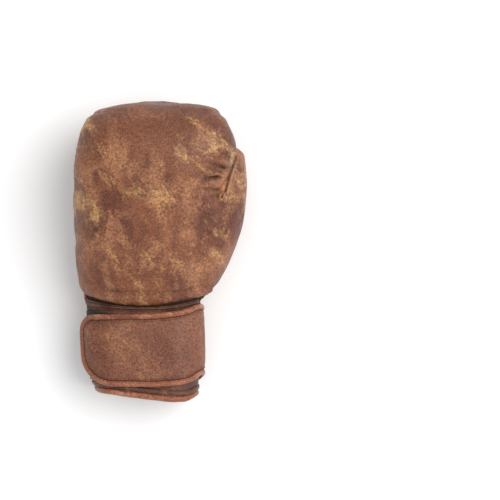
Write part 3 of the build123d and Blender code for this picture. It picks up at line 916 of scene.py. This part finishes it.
def slit_path():
    up = np.linspace(MOUTH_Y + 3, SLIT_END, 90)
    turn = np.linspace(0, math.pi, 14)[1:-1]
    left = np.stack([np.full(90, SLIT_X - SLIT_HALF), up], 1)
    top = np.stack([SLIT_X - SLIT_HALF * np.cos(turn), SLIT_END + SLIT_HALF * np.sin(turn)], 1)
    right = np.stack([np.full(90, SLIT_X + SLIT_HALF), up[::-1]], 1)
    return evenly(np.concatenate([left, top, right]), 1.2)


def under_surface(xy, h):
    """Points at h over the palm side of the padded body."""
    start = np.column_stack([xy, np.full(len(xy), 2.0)])
    for _ in range(14):
        start[:, 2] += glove_body(start) * 0.8
    return np.column_stack([xy, as_shown(start)[:, 2] - h])


def slit_binding():
    path = slit_path()
    profile = [(3.6, -0.3), (3.3, 0.6), (2.2, 1.1), (0.8, 0.9), (-0.3, 0.1), (-0.7, -1.8), (-0.6, -5),
               (-0.4, -9.6), (0.6, -9.6), (1.2, -4), (2.0, -1.4)]
    rings = np.stack([under_surface(path + left_of(path) * d, h) for d, h in profile])
    rings[..., 2] = np.maximum(rings[..., 2], 0.1)
    return ringed_object("slit_binding_looks", rings)


# ---- the lining inside
# The hand's room: y, lowest x, highest x, lowest z, highest z.
HAND = centred([(-156, -62, 30, 15.4, 59.4), (-120, -62, 30, 15.4, 59.4), (-80, -62, 30, 15.6, 59.6),
                (-40, -61, 28.5, 19, 61.5), (0, -58.5, 27, 28, 67), (40, -56.5, 27, 37, 72.5),
                (80, -54, 26, 41.5, 74.5), (104, -46, 20, 48, 70), (110, -30, 6, 54, 64)])


def hand_lining():
    ys = np.concatenate([np.linspace(MOUTH_Y + 2.4, 100, 90), np.linspace(101, 110, 8)])
    turn = np.linspace(0, 2 * math.pi, 72, endpoint=False)
    c, s, power = np.cos(turn), np.sin(turn), 2 / 3.2
    rings = []
    for y in ys:
        mid_x, mid_z, half_x, half_z = (spline(HAND[:, 0], column, y) for column in HAND.T[1:])
        x = mid_x + half_x * np.sign(c) * np.abs(c) ** power
        z = mid_z + half_z * np.sign(s) * np.abs(s) ** power
        shift = 0.85 * np.clip((-100 - y) / 30, 0, 1)
        lift = (mouth_line(x) - MOUTH_Y) * smooth((-110 - y) / 40)
        rings.append(np.column_stack([x + cuff_shift(x, y + 0 * x) * shift, y + lift, z]))
    points = np.concatenate(rings)
    middle = np.array([-14, 0, 45.0]) + points * [0, 1, 0]
    creased = 0.5 * low_noise(points, 30, 41) + 0.25 * low_noise(points, 9, 42)
    points = points + unit(points - middle) * creased[:, None]
    faces = [f[::-1] for f in outward_faces(points, tube_faces(len(ys), len(turn)))]
    del faces[-2]  # the end at the mouth stays open
    return new_object("hand_lining_looks", points, faces)


# ---- trim laid on the body
def surface_rail(corners):
    """A path over the body's skin near the given points, with the direction out of it at each point."""
    path = pull_on(evenly(corners, 1.5), glove_body, 14)
    path = pull_on(evenly(path, 1.5), glove_body, 6)
    return smoothed(as_shown(path)), unit(gradient(glove_body, path))


def smoothed(path, rounds=4):
    """The path with its small unevenness taken out; its two ends stay."""
    for _ in range(rounds):
        path = np.vstack([path[:1], (path[:-2] + 2 * path[1:-1] + path[2:]) / 4, path[-1:]])
    return path


def rail_from_above(corners, step=1.0):
    """A path over the points of the skin that are seen from straight above the given X and Y."""
    path = evenly(corners, step)
    path = np.column_stack([path, np.full(len(path), 130.0)])
    for _ in range(40):
        path[:, 2] -= np.minimum(glove_body(path) * 0.6, 4)
    out = unit(gradient(glove_body, path) + [0, 0, 1.2])
    return np.column_stack([path[:, :2], as_shown(path)[:, 2]]), out


def rail_shape(path, out, width, height, sink=0.3, lumps=0.0):
    """A soft strip or welt lying on a rail, tapered at its two ends."""
    across = np.cross(unit(np.gradient(path, axis=0)), out)
    count, sides = np.arange(len(path)), 12
    taper = smooth(np.minimum(count, count[::-1]) / 3.0) * 0.8 + 0.2
    rings = []
    for k in range(sides):
        angle = 2 * math.pi * k / sides
        lump = 1 + lumps * np.sin(count * 1.7 + k)
        rings.append(path + across * (math.cos(angle) * width / 2 * taper * lump)[:, None]
                     + out * (math.sin(angle) * height / 2 * taper * lump + height / 2 - sink)[:, None])
    points = np.stack(rings, 1).reshape(-1, 3)
    points[:, 2] = np.maximum(points[:, 2], FLOOR_GAP)
    return points, outward_faces(points, tube_faces(len(path), sides))


def rail_stitches(path, out, offset):
    """Two rows of stitches along a strip on a rail, one near each of its edges."""
    across = np.cross(unit(np.gradient(path, axis=0)), out)
    ends = []
    for side in (-offset, offset):
        row = path + across * side + out * 1.65
        ends += [(row[i], row[i + 2], out[i]) for i in range(3, len(row) - 5, 3)]
    return thread("palm_piping_stitches", ends, 0.26)


def facing_path(inset):
    """The stitching round the slit's facing: up its left side, over the slit's end and down the right."""
    radius, left, right, top = 12.5 - inset, SLIT_X - 5, SLIT_X + 3, SLIT_END - 2
    turn = np.linspace(0, math.pi / 2, 10)
    first = np.column_stack([left - radius * np.cos(turn), top + radius * np.sin(turn)])
    last = np.column_stack([right + radius * np.sin(turn), top + radius * np.cos(turn)])
    return np.vstack([[(left - radius, MOUTH_Y + 13)], first, last, [(right + radius, -66)]])


def facing_stitches():
    def place(x, y, h):
        return under_surface(np.array([[x, y]]), h)[0]

    ends, inner = (stitch_row(facing_path(inset), place, 0.2, 2.6, 1.6) for inset in (1.2, 4.2))
    ends += [end for end in inner if end[3] < SLIT_X]
    return thread("slit_facing_stitches", [end[:3] for end in ends], 0.26)


def palm_piping():
    """The flat welt over the palm and its two rows of stitches."""
    edge = [(37.5, -44, 14), (30, -20, 10), (27, 4, 14), (28, 25, 20), (33, 55, 26), (34.5, 60, 28)]
    path, out = surface_rail(edge)
    piece = new_object("palm_piping_looks", *rail_shape(path, out, 7.4, 3.0, 0.9))
    return piece, rail_stitches(path, out, 2.6)


def thumb_welt():
    path, out = rail_from_above([(79.4, 97), (76.2, 87), (73.2, 77), (70.6, 67), (68.3, 57)])
    return new_object("thumb_welt", *rail_shape(path, out, 3.6, 3.2, 0.9, 0.05))


def thumb_tack():
    """The folded corner of leather that is sewn down where the thumb leaves the fist."""
    points, faces = np.empty((0, 3)), []
    for lobe in ([(65.6, 62.5), (62.6, 58.5), (60.4, 55.0)], [(67.4, 60.5), (65.4, 57.0), (64.6, 53.0)],
                 [(60.2, 55.2), (62.4, 53.4), (65.0, 53.2)]):
        part, part_faces = rail_shape(*rail_from_above(lobe, 0.7), 3.4, 3.0, 0.7, 0.10)
        faces += [tuple(i + len(points) for i in f) for f in part_faces]
        points = np.concatenate([points, part])
    return new_object("thumb_tack_looks", points, faces)


def hidden_wall(name, body, beside):
    """A wall just inside one body, beside the other: it shows only when the thumb moves away."""
    def inner(p):
        return body(p) + 1.7

    points, quads = grid_mesh(inner, [20.0, 30.0, -4.0], [96.0, 125.0, 120.0], 4.0)
    points = pull_on(points, inner)
    middle = points[quads].mean(1)
    chosen = quads[(beside(middle) < 5) & (glove_body(middle) < -1.2) & (middle[:, 1] > 46)]
    used, local = np.unique(chosen, return_inverse=True)
    return new_object(name, points[used], local.reshape(-1, 4))


fist_wall = hidden_wall("fist_wall_by_thumb", back_body, thumb_body)
thumb_wall = hidden_wall("thumb_wall_by_fist", thumb_body, lambda p: np.minimum(back_body(p), fist_roll(p)))
strap = {"leather": strap_leather(), "backing": strap_backing(), "binding": strap_binding(),
         "stitches": strap_stitches(), "hook": hook_tape()}
hem_binding = mouth_trim("cuff_hem_binding_looks", HEM_PROFILE, 0.25, 26, 31)
fold = mouth_trim("cuff_hem_fold", FOLD_PROFILE, 0.3, 34, 32)
top_roll, loop = cuff_top_roll(), loop_tape()
slit_edge, lining = slit_binding(), hand_lining()
(piping, piping_thread), welt, tack = palm_piping(), thumb_welt(), thumb_tack()
facing_thread = facing_stitches()


# ---- materials
def srgb(r, g, b):
    shares = (r / 255, g / 255, b / 255)
    return tuple(c / 12.92 if c <= 0.04045 else ((c + 0.055) / 1.055) ** 2.4 for c in shares) + (1.0,)


def darker(colour, share):
    return tuple(c * share for c in colour[:3]) + (1.0,)


class Nodes:
    """A small helper that writes a material's node tree."""

    def __init__(self, name):
        self.material = bpy.data.materials.new(name)
        self.material.use_nodes = True
        self.tree = self.material.node_tree
        self.shader = self.tree.nodes["Principled BSDF"]
        self.place = self.make("TexCoord").outputs["Object"]

    def make(self, kind, inputs=(), **settings):
        """A node with its settings made and its inputs linked or set."""
        node = self.tree.nodes.new("ShaderNode" + kind)
        for key, value in settings.items():
            setattr(node, key, value)
        for key, value in dict(inputs).items():
            self.feed(node.inputs[key], value)
        return node

    def feed(self, socket, value):
        if isinstance(value, bpy.types.NodeSocket):
            self.tree.links.new(value, socket)
        else:
            socket.default_value = value

    def math(self, operation, a, b=0.0, clamp=False):
        return self.make("Math", {0: a, 1: b}, operation=operation, use_clamp=clamp).outputs[0]

    def plus(self, a, b, clamp=False):
        return self.math("ADD", a, b, clamp)

    def minus(self, a, b):
        return self.math("SUBTRACT", a, b)

    def times(self, a, b):
        return self.math("MULTIPLY", a, b)

    def axes(self):
        return self.make("SeparateXYZ", {0: self.place}).outputs

    def turned(self, rotation, scale, place=None):
        inputs = {"Vector": place or self.place, "Rotation": rotation, "Scale": scale}
        return self.make("Mapping", inputs).outputs[0]

    def noise(self, scale, detail=4.0, rough=0.55, place=None, distortion=0.0):
        inputs = {"Vector": place or self.place, "Scale": scale, "Detail": detail, "Roughness": rough,
                  "Distortion": distortion}
        return self.make("TexNoise", inputs).outputs["Fac"]

    def cells(self, scale):
        return self.make("TexVoronoi", {"Vector": self.place, "Scale": scale}).outputs["Distance"]

    def ramp(self, value, low, high):
        inputs = {"Value": value, "From Min": low, "From Max": high}
        return self.make("MapRange", inputs, interpolation_type="SMOOTHSTEP").outputs[0]

    def mix(self, share, a, b, blend="MIX"):
        return self.make("Mix", {0: share, 6: a, 7: b}, data_type="RGBA", blend_type=blend).outputs[2]

    def bump(self, height, distance, strength=1.0, before=None):
        inputs = {"Distance": distance, "Strength": strength, "Height": height}
        return self.make("Bump", inputs | ({"Normal": before} if before else {})).outputs[0]

    def finish(self, colour, roughness, normal=None, **constants):
        self.feed(self.shader.inputs["Base Color"], colour)
        self.feed(self.shader.inputs["Roughness"], roughness)
        if normal is not None:
            self.feed(self.shader.inputs["Normal"], normal)
        for key, value in constants.items():
            self.shader.inputs[key.replace("_", " ")].default_value = value
        return self.material


def leather(name, tones, mottling, grain, rough, offset=0.0, front=0.0):
    """Waxed, distressed leather: cloudy patches, rubbed ochre streaks, fine speckle and grain."""
    n = Nodes(name)
    dark, middle, light, ochre = (srgb(*tone) for tone in tones)
    shifted = n.make("VectorMath", {0: n.place, 1: (offset, offset * 0.7, offset * 0.3)}, operation="ADD")
    place = shifted.outputs[0]
    falling = n.turned((0.1, 0.1, 0.75), (1.0, 1.0, 1.0), place)
    clouds = n.noise(17, 6.0, 0.62, falling, 0.5)
    patches = n.noise(34, 5.0, 0.60, n.turned((0, 0, 0.4), (1.0, 0.7, 1.0), place), 0.4)
    streaks = n.noise(24, 4.0, 0.60, n.turned((0, 0, 0), (0.7, 1.5, 1.0), falling), 0.4)
    broken, fine = n.noise(330, 4.0, 0.72), n.noise(640, 2.0, 0.6)
    ragged = n.times(n.minus(broken, 0.5), 0.24)
    clouds, patches, streaks = (n.plus(layer, ragged) for layer in (clouds, patches, streaks))
    colour = n.mix(n.times(n.ramp(clouds, 0.40, 0.64), mottling), middle, dark)
    colour = n.mix(n.times(n.ramp(patches, 0.46, 0.68), 0.85 * mottling), colour, light)
    # Darker towards the front of the fist.
    colour = n.mix(n.times(n.ramp(n.axes()[1], 0.085, 0.150), front), colour, dark)
    colour = n.mix(n.times(n.ramp(streaks, 0.51, 0.73), 0.80 * mottling), colour, ochre)
    tone = n.plus(n.times(n.minus(broken, 0.5), 1.2 * grain), n.times(n.minus(fine, 0.5), 1.9 * grain))
    tone = n.plus(tone, 1.0)
    grey = n.make("CombineColor", {0: tone, 1: tone, 2: tone}).outputs[0]
    colour = n.mix(1.0, colour, grey, "MULTIPLY")
    # The attribute paints the leather near black: dark lines along the seams, partly painted shade in their
    # grooves, and painted shade in gaps, creases and under the lip; those places are also made rougher.
    seam = n.make("Attribute", attribute_name="seam").outputs["Fac"]
    colour = n.mix(n.times(seam, 0.88), colour, darker(dark, 0.22))
    wrinkle = n.noise(140, 3.0, 0.6, n.turned((0, 0, 0.5), (1.0, 2.2, 1.0)), 1.2)
    normal = n.bump(wrinkle, 0.0012, 0.4)
    normal = n.bump(n.cells(760), 0.00035, 0.4 * grain, normal)
    normal = n.bump(broken, 0.0005, 0.5 * grain, normal)
    roughness = n.plus(n.times(n.minus(patches, 0.5), 0.35), rough)
    roughness = n.plus(roughness, n.times(seam, 0.45), True)
    return n.finish(colour, roughness, normal, Specular_IOR_Level=0.38)


def plain(name, colour, second, scale, rough, bump_scale, bump, sheen=0.0):
    """A simple material with two tones of noise and a matching relief."""
    n = Nodes(name)
    colour, second = srgb(*colour), srgb(*second)
    mixed = n.mix(n.ramp(n.noise(scale, 3.0, 0.6), 0.35, 0.65), colour, second)
    fine = n.noise(bump_scale, 2.0, 0.6)
    mixed = n.mix(n.times(n.ramp(fine, 0.3, 0.7), 0.3), mixed, darker(colour, 0.45))
    roughness = n.plus(n.times(n.noise(scale * 2), 0.2), rough - 0.1)
    return n.finish(mixed, roughness, n.bump(fine, bump, 0.6), Sheen_Weight=sheen)


def woven(name, colour, second, pitch):
    """A plain weave in three directions' worth of threads, seen from any side."""
    n = Nodes(name)
    colour, second = srgb(*colour), srgb(*second)
    x, y, z = (n.math("SINE", n.times(axis, 2 * math.pi / pitch)) for axis in n.axes())
    share = n.ramp(n.plus(n.times(x, y), n.times(z, n.plus(x, y))), -1.2, 1.2)
    mixed = n.mix(share, second, colour)
    mixed = n.mix(n.times(n.ramp(n.noise(60, 4.0), 0.4, 0.7), 0.4), mixed, second)
    return n.finish(mixed, 0.85, n.bump(share, 0.0005, 0.7), Sheen_Weight=0.25)


def spacer_mesh(name, pitch=0.0033):
    """Black spacer mesh: slanting rows of small dark holes between raised cords."""
    n = Nodes(name)
    x, y, _ = n.axes()
    rows, lines = n.times(y, 2 * math.pi / pitch), n.times(x, 2 * math.pi / (pitch * 1.15))
    first = n.math("COSINE", n.times(n.plus(rows, lines), 0.5))
    second = n.math("COSINE", n.times(n.minus(rows, lines), 0.5))
    hole = n.ramp(n.math("ABSOLUTE", n.times(first, second)), 0.30, 0.62)
    base = n.mix(hole, srgb(50, 46, 44), srgb(6, 5, 5))
    base = n.mix(n.times(n.ramp(n.noise(40, 4.0), 0.5, 0.75), 0.2), base, srgb(66, 60, 54))
    return n.finish(base, 0.78, n.bump(n.minus(1.0, hole), 0.0010, 0.9), Sheen_Weight=0.2)


# Leather: its dark, middle, light and ochre tones, then how mottled, grainy and rough it is.
WORN = leather("worn_leather", [(90, 46, 30), (125, 75, 48), (157, 106, 73), (192, 147, 95)],
               1.0, 1.25, 0.48, front=0.5)
STRAP_LEATHER = leather("strap_leather", [(102, 57, 39), (118, 71, 49), (134, 87, 62), (142, 95, 64)],
                        0.9, 1.4, 0.53, 0.31)
ROLL_LEATHER = leather("roll_leather", [(96, 50, 35), (130, 79, 55), (158, 108, 78), (198, 154, 97)],
                       1.1, 1.4, 0.5, 0.57)
# A lighter copy of the worn leather: painted highlight along the raised welt beside the thumb and on the
# tack.
LIT_WELT = leather("welt_leather", [(130, 82, 56), (160, 110, 78), (176, 128, 94), (186, 142, 100)],
               0.7, 1.0, 0.48, 0.71)
THUMB_INNER = leather("thumb_inner_leather", [(56, 32, 25), (80, 50, 37), (98, 66, 48), (120, 82, 54)],
                      0.8, 1.0, 0.5, 0.83)
BOUND = leather("binding_leather", [(110, 58, 40), (144, 86, 61), (172, 114, 84), (190, 136, 102)],
                0.8, 1.2, 0.42, 0.13)
# A darker copy of the worn leather: painted shade for the cuff's back, the mouth's fold and the wrist's
# roll, which lie in shadow.
SHADED_HEM = leather("hem_leather", [(64, 34, 24), (90, 52, 37), (118, 75, 54), (138, 94, 64)],
              0.9, 1.2, 0.5, 0.43)
BAND = plain("smooth_dark_leather", (76, 48, 35), (98, 65, 48), 60, 0.42, 900, 0.0002)
GUSSET = woven("gusset_weave", (24, 22, 21), (12, 11, 11), 0.0012)
MESH = spacer_mesh("spacer_mesh")
LOOP = plain("loop_pile", (9, 8, 8), (22, 20, 19), 300, 0.95, 1400, 0.0012, 0.1)
HOOK = plain("hook_face", (16, 16, 17), (30, 30, 31), 500, 0.6, 1100, 0.0010)
LINING = woven("lining_weave", (44, 40, 38), (24, 22, 21), 0.0011)
BACKING = woven("strap_backing_weave", (34, 31, 30), (20, 18, 18), 0.0009)
DARK_THREAD = plain("dark_thread", (44, 24, 18), (58, 34, 26), 400, 0.7, 2400, 0.0002)
THREAD = plain("thread", (104, 56, 40), (124, 72, 52), 400, 0.7, 2400, 0.0002)


# ---- which body and node each piece stands for
def dress(piece, material, slot, *nodes):
    piece.data.materials.clear()
    piece.data.materials.append(material)
    if nodes:
        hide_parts(*nodes)
    return piece


PANEL_LOOKS = {
    "back_leather": (WORN, "worn_leather",
                     ["knuckle_foam_outer", "knuckle_foam_inner", "grip_bar_foam"], 0.85),
    "fist_face_leather": (ROLL_LEATHER, "worn_leather", ["fist_roll_foam"], 0.9),
    "fist_side_gusset_little": (GUSSET, "smooth_leather", [], 0.6),
    "fist_side_gusset_thumb": (GUSSET, "smooth_leather", [], 0.6),
    "finger_band_leather": (BAND, "smooth_leather", [], 0.6),
    "palm_mesh": (MESH, "mesh_fabric", [], 0.5),
    "palm_leather": (WORN, "worn_leather", ["palm_foam", "cuff_palm_foam"], 0.5),
    "slit_facing": (WORN, "worn_leather", [], 0.3),
    "cuff_back_leather": (SHADED_HEM, "worn_leather", ["cuff_back_foam"], 0.4),
    "thumb_outer_leather": (WORN, "worn_leather", ["thumb_foam", "thumb_lining"], 0.85),
    "thumb_inner_leather": (THUMB_INNER, "worn_leather", [], 0.8),
}
for panel, piece in PANELS.items():
    material, slot, hidden, fill = PANEL_LOOKS[panel]
    dress(piece, material, slot, panel, *hidden)
    if panel.startswith("thumb"):
        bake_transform(piece)
    else:
        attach(piece, "glove")

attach(dress(fist_wall, WORN, "worn_leather"), "glove")
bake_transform(dress(thumb_wall, WORN, "worn_leather"))
for piece, material, slot, *nodes in (
        (hem_binding, BOUND, "binding_leather", "cuff_hem_binding"), (fold, SHADED_HEM, "worn_leather"),
        (top_roll, SHADED_HEM, "worn_leather", "cuff_top_roll"), (loop, LOOP, "tape", "loop_tape"),
        (slit_edge, BOUND, "binding_leather", "slit_binding"),
        (lining, LINING, "lining_fabric", "hand_lining"),
        (piping, WORN, "worn_leather", "palm_piping"), (piping_thread, DARK_THREAD, "binding_leather"),
        (facing_thread, DARK_THREAD, "binding_leather")):
    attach(dress(piece, material, slot, *nodes), "glove")

for piece, nodes in ((welt, []), (tack, ["thumb_tack"])):
    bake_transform(dress(piece, LIT_WELT, "worn_leather", *nodes))

STRAP_NODES = {
    "leather": (STRAP_LEATHER, "worn_leather", "leather"), "backing": (BACKING, "lining_fabric", "backing"),
    "binding": (BOUND, "binding_leather", "binding"), "stitches": (THREAD, "binding_leather", None),
    "hook": (HOOK, "tape", "hook_tape"),
}
STRAP_REPLACED = {"root": ["anchor"], "side": ["wrap"], "tip": ["back", "tip"]}
for layer, pieces in strap.items():
    material, slot, node = STRAP_NODES[layer]
    for piece in pieces:
        part = piece.name.rsplit("_", 1)[1]
        names = [f"strap_{which}_{node}" for which in STRAP_REPLACED[part]] if node else []
        names = [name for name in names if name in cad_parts]
        dress(piece, material, slot, *names)
        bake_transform(piece)

# ---- floor, light and camera
FLOOR_HALF = 4000
corners = [(x * FLOOR_HALF, y * FLOOR_HALF, 0) for x, y in ((-1, -1), (1, -1), (1, 1), (-1, 1))]
floor = new_object("floor", corners, [(0, 1, 2, 3)])
pale = Nodes("pale_floor")
tones = pale.mix(pale.noise(3.0, 2.0), (0.90, 0.90, 0.90, 1), (0.93, 0.93, 0.93, 1))
floor.data.materials.append(pale.finish(tones, 0.9, Specular_IOR_Level=0.1))
camera = placed("camera", bpy.data.cameras.new("camera"))
camera.location = (0.0921, 0.002, 1.66)
camera.data.sensor_width = 36.0
camera.data.lens = 112.5
bpy.context.scene.camera = camera
sun = placed("window_light", bpy.data.lights.new("window_light", "SUN"))
sun.rotation_euler = Vector((-0.74, -0.22, -1.0)).to_track_quat("-Z", "Y").to_euler()
sun.data.angle = math.radians(50)
sun.data.energy = 2.1
world = bpy.data.worlds.new("world")
bpy.context.scene.world = world
world.use_nodes = True
sky = world.node_tree.nodes["Background"]
sky.inputs["Color"].default_value = (1, 1, 1, 1)
sky.inputs["Strength"].default_value = 0.78
bpy.context.scene.view_settings.view_transform = "Standard"
